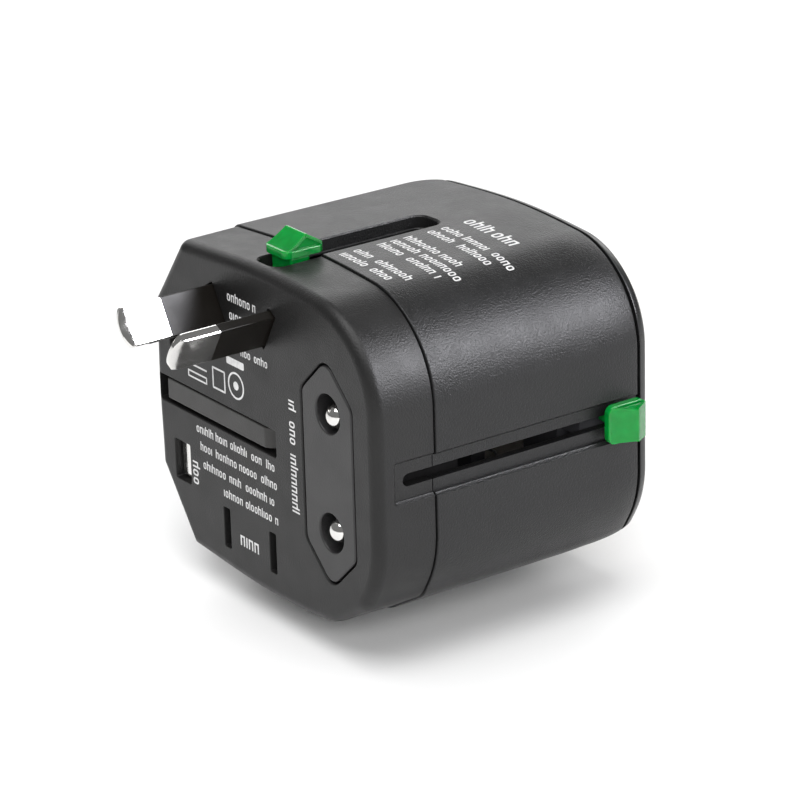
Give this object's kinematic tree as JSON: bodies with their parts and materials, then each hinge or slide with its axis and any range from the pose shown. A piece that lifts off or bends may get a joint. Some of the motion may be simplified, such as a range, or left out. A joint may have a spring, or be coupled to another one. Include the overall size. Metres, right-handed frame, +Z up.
{
  "type": "universal travel adapter",
  "caption": "Moulded universal travel adapter: sliders push out European, Australian, American or British plug pins, and a socket plate at the back takes a plug.",
  "frame": {"origin": "centre of the bounding box's bottom, level with the lowest slider knob", "axes": "-Y is the plug face's outward normal, +Z is up as in the picture, +X is to the right for someone facing the plug face"},
  "size_m": [0.068, 0.0692, 0.0613],
  "materials": {
    "charcoal_cap_plastic": "fine matt texture",
    "charcoal_body_plastic": "fine satin texture",
    "charcoal_rim_plastic": "fine satin texture",
    "pale_grey_plastic": "fine satin texture",
    "charcoal_insert_plastic": "fine matt texture",
    "charcoal_pin_plastic": "fine matt texture",
    "black_sleeve_plastic": "smooth",
    "green_knob_plastic": "clear tinted, polished",
    "ivory_carrier_plastic": "as moulded",
    "nickel_plate": "nickel plated brass",
    "brass": "plain",
    "steel": "zinc plated",
    "fuse_ceramic": "glazed ceramic"
  },
  "bodies": {
    "housing": {"front_cap": "charcoal_cap_plastic", "main_body": "charcoal_body_plastic", "rear_rim": "charcoal_rim_plastic", "socket_plate": "pale_grey_plastic", "earth_hinge_rod": "steel", "contact_frame": "ivory_carrier_plastic", "live_socket_clip": "brass", "neutral_socket_clip": "brass", "live_bus_bar": "brass", "neutral_bus_bar": "brass", "fuse": "fuse_ceramic", "fuse_cap_front": "nickel_plate", "fuse_cap_rear": "nickel_plate", "case_screw_1": "steel", "case_screw_2": "steel", "case_screw_3": "steel", "case_screw_4": "steel", "shutter_spring": "steel"},
    "eu_slider": {"eu_knob": "green_knob_plastic", "eu_carrier": "ivory_carrier_plastic", "eu_pin_upper": "nickel_plate", "eu_pin_lower": "nickel_plate"},
    "eu_block": {"eu_plug_block": "charcoal_insert_plastic"},
    "aus_slider": {"aus_knob": "green_knob_plastic", "aus_carrier": "ivory_carrier_plastic", "aus_blade_left": "nickel_plate", "aus_blade_right": "nickel_plate", "aus_sleeve_left": "black_sleeve_plastic", "aus_sleeve_right": "black_sleeve_plastic"},
    "us_slider": {"us_knob": "green_knob_plastic", "us_carrier": "ivory_carrier_plastic", "us_blade_left": "nickel_plate", "us_blade_right": "nickel_plate"},
    "uk_slider": {"uk_knob": "green_knob_plastic", "uk_carrier": "ivory_carrier_plastic", "uk_pin_upper": "nickel_plate", "uk_pin_lower": "nickel_plate"},
    "earth_pin": {"uk_earth_pin": "charcoal_pin_plastic"},
    "shutter": {"safety_shutter": "black_sleeve_plastic"}
  },
  "joints": [
    {"name": "eu_slide", "type": "slide", "parent": "housing", "child": "eu_slider", "axis": [0, -1, 0], "range_m": [0, 0.0375]},
    {"name": "eu_block_slide", "type": "slide", "parent": "housing", "child": "eu_block", "axis": [0, -1, 0], "range_m": [0, 0.018]},
    {"name": "aus_slide", "type": "slide", "parent": "housing", "child": "aus_slider", "axis": [0, 1, 0], "range_m": [0, 0.0234]},
    {"name": "us_slide", "type": "slide", "parent": "housing", "child": "us_slider", "axis": [0, -1, 0], "range_m": [0, 0.02]},
    {"name": "uk_slide", "type": "slide", "parent": "housing", "child": "uk_slider", "axis": [0, -1, 0], "range_m": [0, 0.0195]},
    {"name": "earth_pin_hinge", "type": "hinge", "parent": "housing", "child": "earth_pin", "pos_m": [-0.0007, -0.0135, 0.03017], "axis": [0, 0, 1], "range_deg": [0, 90]},
    {"name": "shutter_slide", "type": "slide", "parent": "housing", "child": "shutter", "axis": [0, 0, -1], "range_m": [0, 0.0096], "stiffness_N_per_m": 100, "springref_m": -0.004, "deforming": ["shutter_spring"]}
  ],
  "couplings": [
    {"joint": "eu_block_slide", "follows": "eu_slide", "ratio": 0.48}
  ]
}
